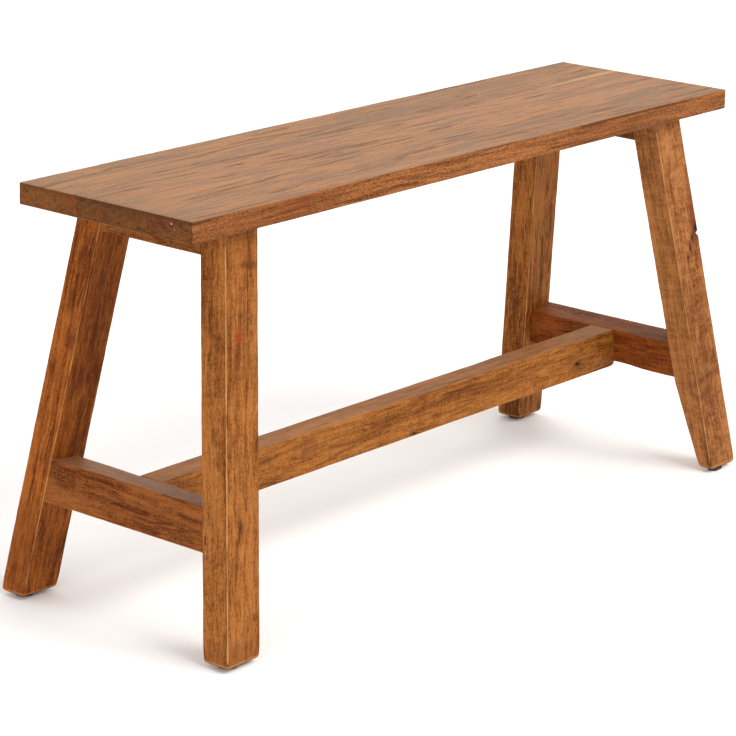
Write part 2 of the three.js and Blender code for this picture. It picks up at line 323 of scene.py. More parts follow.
class Wood:
    """The colours and figure of one timber.

    The colour is its middle tone. The pith is in millimetres across and through the timber from its
    lowest corner. Coarse and length stretch the figure across and along the grain. Rings, clouds, curl,
    fibres, lines and specks are how strong each kind of figure is, and side_contrast is the share of it
    that upright faces keep. The wear strength makes the edges pale where the low faces meet, partly
    wear and partly a painted highlight, with painted shade beside them; far_wear rubs all the edges,
    and scuff a line above the foot. The dust strength puts dust and a painted sheen on top, and
    end_grain is how light the end grain is.
    """

    def __init__(self, seed, colour, pith, coarse=1, length=1, rings=0.3, clouds=0.6, curl=0.2, fibres=0.55,
                 lines=0.35, specks=0.8, side_contrast=1.0, wear=0.62, far_wear=0.3, scuff=0.0, dust=0.1,
                 end_grain=0.6, knots=(), marks=()):
        self.seed = seed
        self.middle = paint(*colour)
        self.dark = [value * share for value, share in zip(self.middle, DARKER)]
        self.light = [value * share for value, share in zip(self.middle, LIGHTER)]
        self.pith = pith
        self.coarse, self.length = coarse, length
        self.rings, self.clouds, self.curl = rings, clouds, curl
        self.fibres, self.lines, self.specks = fibres, lines, specks
        self.side_contrast = side_contrast
        self.wear, self.far_wear, self.scuff = wear, far_wear, scuff
        self.dust, self.end_grain = dust, end_grain
        self.knots, self.marks = knots, marks


def figure_noise(shade, wood, figure, place, output="Fac"):
    """One noise of the figure over the place, as coarse and as long as this timber has it."""
    run = 1 / wood.length if figure.drawn_out else 1
    wide = 1 / wood.coarse
    waves = (figure.along * run, figure.around * wide, figure.around)
    return shade.noise(place, waves, figure.detail, figure.rough, output)


def knot_distance(shade, point, spot):
    """Distance from a knot's middle in knot sizes. A knot is drawn out along the grain."""
    offset = shade.vector("SUBTRACT", point, [value * MM for value in spot["place"]])
    offset = shade.vector("MULTIPLY", offset, (KNOT_STRETCH, 1, 1))
    return shade.math("DIVIDE", shade.vector("LENGTH", offset), spot["size"] * MM)


def growth_rings(shade, wood, timber, seeded):
    """Rings round the pith, bent by slow waves and pushed aside by the knots. The latewood is high."""
    bent = shade.drifted(timber, shade.noise(seeded, RING_BEND_WAVES, output="Color"), RING_BEND)
    from_pith = shade.vector("SUBTRACT", bent, (0, wood.pith[0] * MM, wood.pith[1] * MM))
    radius = shade.vector("LENGTH", shade.vector("MULTIPLY", from_pith, (RING_CONE, 1, 1)))
    for spot in wood.knots:
        squared = shade.math("POWER", knot_distance(shade, timber, spot), 2.0)
        swell = shade.math("EXPONENT", shade.math("MULTIPLY", squared, -KNOT_FADE))
        radius = shade.math("ADD", radius, shade.math("MULTIPLY", swell, spot["size"] * MM * KNOT_PUSH))
    wander = shade.math("MULTIPLY", shade.noise(seeded, RING_WANDER_WAVES, detail=3), RING_WANDER)
    turns = shade.math("ADD", shade.math("DIVIDE", radius, RING_PITCH), wander)
    profile = [(place, grey(value)) for place, value in RING_PROFILE]
    ring = shade.blend(shade.math("FRACT", turns), profile)
    strength = shade.spread(shade.noise(seeded, RING_PATCH_WAVES), *RING_PATCH, RING_WEAKEST, 1)
    return shade.math("MULTIPLY", ring, strength)


def wood_tone(shade, wood, timber, seeded, upward):
    """How light the timber is, from 0 to 1, and the fibres, lines, pores and specks that it has."""
    swayed = shade.drifted(seeded, figure_noise(shade, wood, SWAY, seeded, "Color"), SWAY_REACH)
    ring = growth_rings(shade, wood, timber, seeded)
    cloud = figure_noise(shade, wood, CLOUD, swayed)
    curl = figure_noise(shade, wood, CURL, swayed)
    fibre = figure_noise(shade, wood, FIBRE, swayed)
    line = shade.spread(figure_noise(shade, wood, LINE, swayed), *LINE_SHOWS)
    tick = shade.spread(figure_noise(shade, wood, TICK, swayed), *TICK_SHOWS)
    speck = figure_noise(shade, wood, SPECK, seeded)
    tone = shade.math("MULTIPLY_ADD", ring, -wood.rings, MEAN_TONE + wood.rings * RING_MEAN)
    for value, strength in ((cloud, wood.clouds), (curl, wood.curl), (fibre, wood.fibres)):
        tone = shade.math("ADD", tone, shade.swing(value, strength))
    tone = shade.math("SUBTRACT", tone, shade.math("MULTIPLY", line, wood.lines))
    if wood.side_contrast < 1:
        tone = shade.flatten(tone, shade.spread(upward, *STEEP_TO_LEVEL, wood.side_contrast, 1))
    tone = shade.math("ADD", tone, shade.swing(speck, wood.specks))
    tone = shade.math("SUBTRACT", tone, shade.math("MULTIPLY", tick, wood.specks * TICK_SHARE))
    return tone, fibre, line, tick, speck


def add_marks(shade, wood, timber, seeded, colour):
    """Stains, streaks and patches of painted light and painted shade, and then the knots in their halos, all
    with ragged outlines.
    """
    ragged_by = shade.noise(seeded, RAGGED_WAVES, detail=3, rough=0.65)
    for spot in wood.marks:
        offset = shade.vector("SUBTRACT", timber, [value * MM for value in spot["place"]])
        offset = shade.vector("MULTIPLY", offset, [1 / (size * MM) for size in spot["sizes"]])
        ragged = shade.math("MULTIPLY_ADD", ragged_by, MARK_RAGGED, shade.vector("LENGTH", offset))
        share = shade.math("MULTIPLY", shade.spread(ragged, *MARK_EDGE), spot["share"])
        colour = shade.mix(share, colour, spot["colour"])
    for spot in wood.knots:
        ragged = shade.math("MULTIPLY_ADD", ragged_by, KNOT_RAGGED, knot_distance(shade, timber, spot))
        halo = shade.math("MULTIPLY", shade.spread(ragged, *KNOT_HALO_EDGE), spot["depth"] * KNOT_HALO_SHARE)
        colour = shade.mix(halo, colour, KNOT_HALO)
        core = shade.math("MULTIPLY", shade.spread(ragged, *KNOT_CORE_EDGE), spot["depth"])
        colour = shade.mix(core, colour, KNOT_CORE)
    return colour


def edge_distance(shade, gap):
    """How far the surface is from the nearest edge: its distances to three faces without the largest."""
    along, across, through = shade.split(gap)
    largest = shade.math("MAXIMUM", shade.math("MAXIMUM", along, across), through)
    total = shade.math("ADD", shade.math("ADD", along, across), through)
    return shade.math("SUBTRACT", total, largest)


def add_edge_wear(shade, wood, seeded, near, gap, colour):
    """Edges worn pale, with a painted highlight on them and painted shade beside them, most where low faces
    meet.
    """
    patchy = shade.math("MULTIPLY", shade.noise(seeded, PATCHY_WAVES, detail=3), PATCHY_BY)
    near_edge = shade.math("ADD", edge_distance(shade, near), patchy)
    any_edge = shade.math("ADD", edge_distance(shade, gap), patchy)
    # A band of painted shade just in from the edges where the low faces meet
    edge_shade = shade.spread(near_edge, *EDGE_SHADE_BAND, 0, wood.wear * EDGE_SHADE_SHARE)
    colour = shade.mix(edge_shade, colour, EDGE_SHADE_TINT, "MULTIPLY")
    # Pale edges: wear on all edges, and a painted highlight on the edges where the low faces meet
    worn_and_highlit = shade.math("MAXIMUM", shade.spread(near_edge, *RUBBED_AND_HIGHLIT_BAND, 0, wood.wear),
                        shade.spread(any_edge, *FAR_RUBBED_BAND, 0, wood.far_wear))
    if wood.scuff:
        along = shade.split(gap)[0]
        from_line = shade.math("ABSOLUTE", shade.math("SUBTRACT", along, SCUFF_HEIGHT))
        scuffed = shade.spread(shade.math("ADD", from_line, patchy), *SCUFFED_BAND, 0, wood.scuff)
        worn_and_highlit = shade.math("MAXIMUM", worn_and_highlit, scuffed)
    return shade.mix(worn_and_highlit, colour, WORN_AND_HIGHLIT_EDGE)


def wood_relief(shade, wood, fibre, line, tick, speck):
    """The surface's bumps, where the fibres stand up and the lines and pores are open."""
    height = shade.math("MULTIPLY_ADD", speck, SPECK_HEIGHT, shade.math("MULTIPLY", fibre, FIBRE_HEIGHT))
    height = shade.math("MULTIPLY_ADD", tick, TICK_HEIGHT, height)
    height = shade.math("MULTIPLY_ADD", line, wood.lines * LINE_HEIGHT, height)
    return shade.bump(height, RELIEF_STRENGTH, RELIEF_DEPTH)


def wood_material(name, wood):
    """Oiled timber: its figure, marks and knots, soaked end grain, dust and painted sheen on top, and
    edges worn pale with a painted highlight and painted shade.

    It reads the timber's own coordinates and the distances to its low (near) and high (far) faces.
    """
    shade = Shade(name)
    timber, near = shade.attribute("timber"), shade.attribute("near")
    gap = shade.vector("MINIMUM", near, shade.attribute("far"))
    seeded = shade.vector("ADD", timber, [wood.seed * step for step in SEED_STEPS])
    upward = shade.split(shade.add("ShaderNodeNewGeometry", {}, "Normal"))[2]
    end = shade.spread(shade.split(gap)[0], *END_FACE)
    tone, fibre, line, tick, speck = wood_tone(shade, wood, timber, seeded, upward)
    tone = shade.flatten(tone, shade.math("MULTIPLY_ADD", end, -END_CALM, 1.0))
    colour = shade.blend(tone, [(0.0, wood.dark), (MIDDLE, wood.middle), (1.0, wood.light)])
    colour = add_marks(shade, wood, timber, seeded, colour)
    colour = shade.mix(end, colour, grey(wood.end_grain), "MULTIPLY")
    # Dust, and a painted sheen, lighten and pale the faces that look up
    colour = shade.mix(shade.spread(upward, *DUST_AND_SHEEN_FACING, 0, wood.dust), colour, DUST_AND_SHEEN)
    colour = add_edge_wear(shade, wood, seeded, near, gap, colour)
    dullness = shade.math("MULTIPLY_ADD", line, LINE_DULLNESS, fibre)
    roughness = shade.spread(dullness, *DULLNESS_RANGE, *WOOD_ROUGHNESS)
    relief = wood_relief(shade, wood, fibre, line, tick, speck)
    shade.surface(colour, roughness, specular=WOOD_SHEEN, normal=relief)
    return shade.material


def mark(place, sizes, colour, share):
    """One mark in the timber's millimetres, with its colour and how much of it shows: a stain, a streak, or
    a patch of painted light or painted shade.
    """
    return {"place": place, "sizes": sizes, "colour": paint(*colour), "share": share}


def knot(place, size, depth):
    """A knot in the timber's millimetres, with how much of it shows."""
    return {"place": place, "size": size, "depth": depth}


SEAT_FIGURE = {
    "coarse": 2.0, "length": 3.0, "rings": 0.4, "clouds": 0.65, "curl": 0.1, "fibres": 1.6, "lines": 1.5,
    "specks": 1.3, "side_contrast": 0.4, "wear": 0.5, "far_wear": 0.15, "dust": 0.24,
}

# How each timber is cut and coloured
WOODS = {
    "seat_board_front": Wood(1, (126, 75, 36), (60, -90), end_grain=0.57, **SEAT_FIGURE, marks=[
        mark((0, 100, 23), (60, 90, 12), (92, 52, 30), 0.35),
        mark((0, 60, 23), (10, 160, 5), (84, 48, 32), 0.35),
        mark((110, 0, 11), (150, 8, 24), (100, 52, 20), 0.35),
        mark((144, 0, 15), (26, 4, 8), (132, 62, 30), 0.3),
        mark((0, 47, 13), (3, 12, 6), (112, 40, 22), 0.35),
        mark((0, 28, 16.5), (1, 1.1, 1.1), (240, 232, 220), 0.9),
        mark((0, 24, 12), (1, 0.9, 1.6), (190, 150, 120), 0.7),
        mark((735, 0, 21.4), (110, 5, 1.9), (70, 36, 16), 0.8),
        mark((640, 0, 20.4), (30, 5, 1.6), (70, 36, 16), 0.6),
        mark((700, 0, 11), (120, 5, 14), (112, 66, 32), 0.35),
    ]),
    "seat_board_back": Wood(2, (124, 75, 34), (20, 110), end_grain=0.68, **SEAT_FIGURE, marks=[
        mark((850, 0, 23), (110, 7, 8), (196, 158, 108), 0.6),
        mark((0, 8, 12), (3, 8, 9), (140, 66, 30), 0.5),
        mark((0, 40, 23), (14, 160, 5), (84, 48, 32), 0.3),
    ]),
    "leg_front_left": Wood(3, (131, 77, 31), (75, -30), scuff=0.3, knots=[
        knot((139, 20, 0), 5.5, 0.5), knot((380, 13.7, 0), 1.3, 0.7),
    ], marks=[
        mark((329, 19, 0), (11, 3.2, 5), (150, 48, 24), 0.6),
        mark((346, 18.4, 0), (9, 0.8, 3), (58, 28, 12), 0.8),
        mark((397, 34, 0), (5, 16, 6), (84, 42, 16), 0.6),
        mark((127, 0, 29), (5, 2, 1.2), (60, 26, 12), 0.8),
        mark((110, 0, 26.8), (3, 2, 1.4), (60, 26, 12), 0.7),
        mark((12, 20, 10), (16, 60, 60), (110, 62, 28), 0.4),
    ]),
    "leg_back_left": Wood(4, (126, 66, 19), (-30, 60), rings=0.45, fibres=0.7, lines=0.45, clouds=0.75,
                          scuff=0.3, knots=[
        knot((247, 29, 0), 4.5, 0.6),
    ], marks=[
        mark((285, 0, 8), (13, 3, 5), (84, 34, 16), 0.7),
        mark((382, 0, 5.6), (4, 2, 2.4), (60, 26, 12), 0.7),
        mark((63, 0, 17.8), (12, 2, 2.4), (60, 28, 14), 0.6),
        mark((60, 0, 16), (60, 4, 30), (100, 50, 18), 0.4),
        # Painted shade: the front face, which looks towards the front legs under the seat, made darker along
        # its length
        mark((260, 26, 0), (200, 30, 4), (84, 42, 12), 0.2),
    ]),
    "leg_front_right": Wood(15, (134, 82, 40), (20, 70), curl=0.5, scuff=0.3, knots=[
        knot((294, 44, 0), 6.5, 1.0), knot((285, 35, 0), 4.5, 0.9), knot((276, 28, 0), 3.6, 0.9),
        knot((266, 21, 0), 2.6, 0.8),
    ], marks=[
        # Painted light: the whole face that looks towards the left end made lighter
        mark((220, 0, 16), (240, 5, 40), (164, 110, 62), 0.25),
        mark((318, 44, 0), (44, 13, 8), (114, 58, 32), 0.55),
        mark((20, 0, 0), (34, 3, 6), (58, 32, 16), 0.7),
        mark((96, 17, 0), (24, 12, 6), (90, 48, 22), 0.45),
        mark((150, 22, 0), (24, 8, 6), (96, 52, 24), 0.35),
        mark((200, 34, 0), (34, 8, 6), (100, 52, 26), 0.35),
        mark((398, 30, 0), (3, 12, 5), (96, 50, 20), 0.6),
    ]),
    "leg_back_right": Wood(6, (129, 75, 27), (90, 10), rings=0.45, lines=0.6, fibres=0.75, scuff=0.3),
    "upper_rail_left": Wood(7, (114, 65, 26), (-20, 60), marks=[
        mark((142, 34.5, 37.5), (2.4, 1.1, 2), (200, 180, 156), 0.6),
        mark((138, 35, 37.5), (4, 1.2, 3), (24, 18, 14), 0.8),
    ]),
    "upper_rail_right": Wood(8, (116, 66, 28), (-10, 50)),
    "end_stretcher_left": Wood(9, (113, 61, 23), (70, 20), rings=0.35, clouds=0.8, dust=0.19, knots=[
        knot((96, 4, 37.5), 7, 0.55),
    ], marks=[
        mark((116, 14, 37.5), (22, 6, 8), (58, 30, 16), 0.6),
        mark((134, 26, 37.5), (24, 4, 8), (62, 33, 18), 0.5),
        mark((238, 22, 37.5), (16, 2, 5), (52, 28, 16), 0.6),
        mark((80, 24, 37.5), (26, 16, 8), (140, 66, 34), 0.4),
        mark((241, 0, 37.5), (1, 1, 1), (230, 220, 206), 0.9),
    ]),
    "end_stretcher_right": Wood(10, (110, 53, 14), (-20, 50), clouds=0.7, dust=0.06),
    "long_stretcher": Wood(11, (134, 80, 31), (60, 10), length=1.6, rings=0.2, clouds=0.45, dust=0.09,
                           knots=[
        knot((730, 0, 17.5), 4.6, 1.0), knot((427, 0, 3), 2.8, 0.8), knot((335, 0, 3), 2.2, 0.4),
    ], marks=[
        mark((250, 0, 30), (14, 4, 18), (92, 48, 18), 0.4),
        mark((880, 0, 0), (90, 5, 6), (66, 32, 12), 0.7),
    ]),
}


# ---- Timber shapes ----

# The mesh: its usual step, its rows in a rounded edge as shares of the radius, and its step near dents
GRID_STEP = 4 * MM
EDGE_ROWS = (0, 0.3, 0.65, 1, 1.6, 2.4, 3.4)
FINE_STEP = 1 * MM
FINE_REACH = 8 * MM
SMALLEST_STEP = 0.2 * MM
# The rounded edges, how uneven they are over long and short stretches, and how round they get at a foot
EDGE_RADIUS = 1.6 * MM
EDGE_UNEVEN = 0.5
UNEVEN_LENGTH = 45 * MM
CHIP_LENGTH = 9 * MM
CHIP_SHARE = 0.5
FOOT_RADIUS = 5 * MM
FOOT_REACH = 16 * MM
# The waves that the plane left on the faces, and how much fuller the block is to make up for them
WAVE_DEPTH = 0.35 * MM
WAVE_LENGTH = 90 * MM
RIPPLE_DEPTH = 0.12 * MM
RIPPLE_LENGTH = 14 * MM
FULLER = 0.4 * MM
# These keep the noises of one timber, and of its four long edges, apart
CHIP_SEED, WAVE_SEED, RIPPLE_SEED = 3, 7, 11
SEED_SKEW = 1.7
EDGE_SIDE = 0.05
# The gap round a tenon or a screw, how far a block runs past a plane that cuts it, and a tenon's tip
JOINT_GAP = 0.1 * MM
OVERRUN = 6 * MM
TIP_DEPTH = 0.5 * MM
HOLE_SIDES = 32
SHARP_ANGLE = math.radians(38)
SAME_FACE = math.cos(math.radians(25))
FAR_AWAY = 1.0
NOWHERE = 1e-9


def new_piece(name, mesh):
    piece = bpy.data.objects.new(name, mesh)
    bpy.context.scene.collection.objects.link(piece)
    return piece


def face_normal(node, hint):
    """The direction of a CAD node's largest flat face among those that look roughly along hint."""
    totals = {}
    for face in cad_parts[node].data.polygons:
        if face.normal.dot(hint) > SAME_FACE:
            key = tuple(round(value, 2) for value in face.normal)
            totals[key] = totals.get(key, Vector()) + face.normal * face.area
    return max(totals.values(), key=lambda total: total.length).normalized()


class Timber:
    """A straight timber's own axes, and the box that its CAD node fills along them.

    The axes are the rows of the matrix: along the grain, across it, and through it.
    """

    def __init__(self, node, across_hint, through_hint):
        self.node = node
        across = face_normal(node, across_hint)
        through = face_normal(node, through_hint)
        self.axes = Matrix((across.cross(through).normalized(), across, through))
        self.points = np.array([self.axes @ vertex.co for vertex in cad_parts[node].data.vertices])
        self.low = self.points.min(0)
        self.high = self.points.max(0)

    def to_world(self, local):
        return self.axes.transposed() @ Vector(local)

    def along_to_plane(self, plane, across, through):
        """How far along the grain the plane is, for a point across and through the timber."""
        point, normal = plane
        local = self.axes @ normal
        return (normal.dot(point) - local[1] * across - local[2] * through) / local[0]

    def face(self, axis, sign, gap=0.0):
        """The plane of one of the timber's own faces: a point and the outward normal."""
        reach = (self.high[axis] if sign > 0 else self.low[axis]) * sign + gap
        return self.axes[axis] * sign * reach, self.axes[axis] * sign

    def tenon_box(self, spare):
        """The bar that both tenons belong to, from the CAD node's end faces, grown by spare."""
        tip = self.points[self.points[:, 0] > self.high[0] - TIP_DEPTH]
        low = np.append(self.low[0], tip[:, 1:].min(0)) - spare
        high = np.append(self.high[0], tip[:, 1:].max(0)) + spare
        mesh = bpy.data.meshes.new("tenon")
        shape = bmesh.new()
        for corner in product(*zip(low, high)):
            shape.verts.new(self.to_world(corner))
        bmesh.ops.convex_hull(shape, input=shape.verts)
        shape.to_mesh(mesh)
        shape.free()
        return mesh


def flipped(plane):
    """The same plane, looking the other way."""
    return plane[0], -plane[1]


def grid_lines(low, high, places):
    """Grid positions from low to high, close together in the rounded ends and round the places."""
    edge = [EDGE_RADIUS * share for share in EDGE_ROWS]
    inner_low, inner_high = low + edge[-1], high - edge[-1]
    count = max(2, round((inner_high - inner_low) / GRID_STEP))
    lines = [low + share for share in edge] + [high - share for share in edge]
    lines += list(np.linspace(inner_low, inner_high, count + 1)[1:-1])
    for place in places:
        first, last = max(low + place - FINE_REACH, inner_low), min(low + place + FINE_REACH, inner_high)
        lines += list(np.arange(first, last, FINE_STEP))
    lines = np.array(sorted(lines))
    return lines[np.append(True, np.diff(lines) > SMALLEST_STEP)]


def lattice_shell(lines):
    """The points and quads of a box's surface, from its grid lines along three axes."""
    counts = [len(line) for line in lines]
    index = {}
    points = []
    for i in range(counts[0]):
        for j in range(counts[1]):
            inside = 0 < i < counts[0] - 1 and 0 < j < counts[1] - 1
            for k in (0, counts[2] - 1) if inside else range(counts[2]):
                index[i, j, k] = len(points)
                points.append((lines[0][i], lines[1][j], lines[2][k]))
    quads = []
    for axis in range(3):
        one, two = (axis + 1) % 3, (axis + 2) % 3
        for level in (0, counts[axis] - 1):
            for a in range(counts[one] - 1):
                for b in range(counts[two] - 1):
                    ring = []
                    for step_a, step_b in ((0, 0), (1, 0), (1, 1), (0, 1)):
                        key = [0, 0, 0]
                        key[axis], key[one], key[two] = level, a + step_a, b + step_b
                        ring.append(index[tuple(key)])
                    quads.append(ring if level else ring[::-1])
    return points, quads


def smooth_noise(point, length, seed):
    """Noise from about -1 to 1 that changes over this length, in a part of it that is the seed's own."""
    return noise.noise(Vector(point) / length + Vector((seed, seed * SEED_SKEW, -seed)))


def dent(place, push, reach):
    """A hollow in millimetres: where it is, which way and how deep it is pushed in, and its reach."""
    return [Vector(value) * MM for value in (place, push, reach)]


# Knocks and missing wood, in each timber's own coordinates
DENTS = {
    "leg_front_right": [dent((294, 47, 0), (0, -1.5, 1.8), (2.0, 4, 5)),
                        dent((286, 38, 0), (0, 0, 1.2), (4, 3, 4))],
    "end_stretcher_right": [dent((105, 0, 0), (0, 1.8, 0), (24, 12, 30))],
    "long_stretcher": [dent((730, 0, 17.5), (0, 2.0, 0), (4, 3, 1.6)),
                       dent((805, 0, 0), (0, 0.8, 1.6), (5, 8, 8))],
    "upper_rail_left": [dent((141, 35, 37.5), (0, -1.2, -1.2), (6, 5, 5))],
    "end_stretcher_left": [dent((72, 45, 37.5), (0, -1.4, -1.0), (18, 6, 6)),
                           dent((150, 45, 37.5), (0, -0.6, -0.6), (26, 6, 6))],
}


def dented(point, low, node):
    """The point pushed in by the timber's dents, where low is the timber's lowest corner."""
    for place, push, reach in DENTS.get(node, ()):
        offset = [(point[axis] - low[axis] - place[axis]) / reach[axis] for axis in range(3)]
        point = point + push * math.exp(-sum(value ** 2 for value in offset))
    return point


def edge_radius(point, low, high, seed, round_foot):
    """The uneven radius of the timber's edge beside the point, which swells towards a rounded foot."""
    sides = [EDGE_SIDE if point[axis] > (low[axis] + high[axis]) / 2 else -EDGE_SIDE for axis in (1, 2)]
    uneven = smooth_noise((point[0], *sides), UNEVEN_LENGTH, seed)
    chips = smooth_noise((point[0], *sides), CHIP_LENGTH, seed + CHIP_SEED)
    radius = EDGE_RADIUS * (1 + EDGE_UNEVEN * (uneven + CHIP_SHARE * chips))
    if round_foot:
        share = max(0, 1 - (point[0] - low[0]) / FOOT_REACH)
        radius += (FOOT_RADIUS - EDGE_RADIUS) * share ** 2
    return radius


def rounded_point(point, low, high, seed, round_ends, round_foot):
    """A box's surface point moved onto its uneven rounded edges, with the planed face's waves."""
    radius = edge_radius(point, low, high, seed, round_foot)
    margins = [[radius * rounded for rounded in round_ends], [radius] * 2, [radius] * 2]
    inner = [min(max(point[axis], low[axis] + margins[axis][0]), high[axis] - margins[axis][1])
             for axis in range(3)]
    away = Vector(point) - Vector(inner)
    if away.length < NOWHERE:
        return Vector(point)
    wave = smooth_noise(point, WAVE_LENGTH, seed + WAVE_SEED) * WAVE_DEPTH
    ripple = smooth_noise(point, RIPPLE_LENGTH, seed + RIPPLE_SEED) * RIPPLE_DEPTH
    depth = max(0, (WAVE_DEPTH + RIPPLE_DEPTH) / 2 + (wave + ripple) / 2)
    return Vector(inner) + away.normalized() * (max(abs(value) for value in away) - depth)


def timber_block(timber, start, end, round_ends=(0, 0), round_foot=False, reshape=None,
                 grow=((FULLER, FULLER), (FULLER, FULLER))):
    """A rounded block along the timber's grain, with its ends lying in the start and end planes.

    Grow is how much fuller it is than its CAD node on its low and high sides, across and through.
    Reshape moves a point of the rounded block, in the timber's own coordinates, before its ends are
    skewed onto their planes.
    """
    seed = WOODS[timber.node].seed
    low, high = timber.low.copy(), timber.high.copy()
    for axis in (1, 2):
        low[axis] -= grow[axis - 1][0]
        high[axis] += grow[axis - 1][1]
    middle = (low + high) / 2
    low[0] = timber.along_to_plane(start, middle[1], middle[2])
    high[0] = timber.along_to_plane(end, middle[1], middle[2])
    places = [place for place, push, reach in DENTS.get(timber.node, ())]
    lines = [grid_lines(low[axis], high[axis], [place[axis] for place in places]) for axis in range(3)]
    points, quads = lattice_shell(lines)
    placed = []
    for point in points:
        moved = rounded_point(point, low, high, seed, round_ends, round_foot)
        moved = dented(moved, timber.low, timber.node)
        if reshape:
            moved = reshape(moved)
        share = (moved[0] - low[0]) / (high[0] - low[0])
        skew_start = timber.along_to_plane(start, moved[1], moved[2]) - low[0]
        skew_end = timber.along_to_plane(end, moved[1], moved[2]) - high[0]
        moved[0] += skew_start * (1 - share) + skew_end * share
        placed.append(timber.to_world(moved))
    mesh = bpy.data.meshes.new(timber.node)
    mesh.from_pydata(placed, [], quads)
    mesh.update()
    return mesh


def slice_mesh(mesh, plane):
    """Cuts away what lies beyond the plane, and closes the cut with one flat face."""
    point, normal = plane
    shape = bmesh.new()
    shape.from_mesh(mesh)
    everything = shape.verts[:] + shape.edges[:] + shape.faces[:]
    cut = bmesh.ops.bisect_plane(shape, geom=everything, plane_co=point, plane_no=normal, clear_outer=True)
    rim = [item for item in cut["geom_cut"] if isinstance(item, bmesh.types.BMEdge)]
    bmesh.ops.edgenet_fill(shape, edges=rim)
    bmesh.ops.recalc_face_normals(shape, faces=shape.faces)
    shape.to_mesh(mesh)
    shape.free()


def combine(piece, tool_mesh, operation):
    """Joins the tool to the piece or cuts it out of it, and keeps the result as plain mesh."""
    tool = new_piece("tool", tool_mesh)
    modifier = piece.modifiers.new("joint", "BOOLEAN")
    modifier.operation = operation
    modifier.solver = "EXACT"
    modifier.object = tool
    bpy.context.view_layer.update()
    result = bpy.data.meshes.new_from_object(piece.evaluated_get(bpy.context.evaluated_depsgraph_get()))
    piece.modifiers.clear()
    piece.data = result
    bpy.data.objects.remove(tool)


def round_bar(radius, middle, length, turn=Matrix()):
    """A round bar, upright unless it is turned, as a tool for a hole."""
    shape = bmesh.new()
    bmesh.ops.create_cone(shape, cap_ends=True, segments=HOLE_SIDES, radius1=radius, radius2=radius,
                          depth=length)
    bmesh.ops.transform(shape, matrix=Matrix.Translation(middle) @ turn, verts=shape.verts)
    mesh = bpy.data.meshes.new("bar")
    shape.to_mesh(mesh)
    shape.free()
    return mesh


def plane_distances(points, planes):
    """How far each point is inside the nearest of the planes, or far away when there is none."""
    distances = [[(Vector(plane[0]) - Vector(point)).dot(plane[1]) for point in points] for plane in planes]
    return np.min(distances, axis=0) if planes else np.full(len(points), FAR_AWAY)


def finish_timber(piece, timber, planes):
    """Stores the grain coordinates and face distances, and gives the timber its wood and its body."""
    mesh = piece.data
    points = [vertex.co.copy() for vertex in mesh.vertices]
    local = np.array([timber.axes @ point for point in points]) - timber.low
    near = np.stack([plane_distances(points, planes[axis][0]) for axis in range(3)], 1)
    far = np.stack([plane_distances(points, planes[axis][1]) for axis in range(3)], 1)
    for name, values in (("timber", local), ("near", near), ("far", far)):
        layer = mesh.attributes.new(name, "FLOAT_VECTOR", "POINT")
        layer.data.foreach_set("vector", np.ascontiguousarray(values, np.float32).ravel())
    mesh.shade_smooth()
    mesh.set_sharp_from_angle(angle=SHARP_ANGLE)
    mesh.materials.clear()
    mesh.materials.append(wood_material(timber.node, WOODS[timber.node]))
    piece.name = f"worn_{timber.node}"
    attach(piece, "root")
    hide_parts(timber.node)


# ---- The bench's timbers ----

# The screws' radius and how tall their heads are, and the radius and reach of their counterbores
SCREW_SHANK = 2.25 * MM
SCREW_HEAD = 3 * MM
COUNTERBORE = 5.5 * MM
COUNTERBORE_REACH = 20 * MM
GLUE_FILM = 0.1 * MM
# How near a leg's end and its full side CAD points count as lying there, and the least taper that counts
FOOT_DEPTH = 12 * MM
FACE_SPARE = 0.2 * MM
LEAST_TAPER = 1 * MM


def side_faces(timber):
    """The low and high planes along each axis: the timber's four long faces, and none at its ends."""
    planes = [[[], []]]
    for axis in (1, 2):
        planes.append([[timber.face(axis, -1, FULLER)], [timber.face(axis, 1, FULLER)]])
    return planes


def make_seat_board(row, glue_plane):
    """One board of the seat, cut off at the glue line, with no worn edges there."""
    timber = Timber(f"seat_board_{row}", Y, Z)
    start, end = timber.face(0, -1), timber.face(0, 1)
    grow = ((0, OVERRUN), (0, 0)) if row == "front" else ((OVERRUN, 0), (0, 0))
    mesh = timber_block(timber, start, end, round_ends=(1, 1), grow=grow)
    slice_mesh(mesh, glue_plane)
    planes = side_faces(timber)
    planes[0] = [[start], [end]]
    planes[1][1 if row == "front" else 0] = []
    piece = new_piece(timber.node, mesh)
    cut_seat_holes(piece)
    finish_timber(piece, timber, planes)


def cut_seat_holes(piece):
    """Cuts the holes for the dowels across the glue line and for the screws from below."""
    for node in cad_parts:
        low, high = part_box(node)
        middle = (low + high) / 2
        if node.startswith("seat_dowel"):
            radius = (high.x - low.x) / 2 + JOINT_GAP
            across = Matrix.Rotation(math.pi / 2, 4, "X")
            combine(piece, round_bar(radius, middle, high.y - low.y, across), "DIFFERENCE")
        if node.startswith("seat_screw"):
            combine(piece, round_bar(SCREW_SHANK + JOINT_GAP, middle, high.z - low.z), "DIFFERENCE")


def leg_timber(row, end):
    return Timber(f"leg_{row}_{end}", X, Y)


def tapered_inner_side(timber):
    """Where a leg's inner side starts to taper and ends, and its place at the foot, or None if straight."""
    foot = timber.points[timber.points[:, 0] < timber.low[0] + FOOT_DEPTH]
    if foot[:, 2].max() > timber.high[2] - LEAST_TAPER:
        return None
    full = timber.points[timber.points[:, 2] > timber.high[2] - FACE_SPARE]
    return full[:, 0].min(), timber.low[0], foot[:, 2].max()


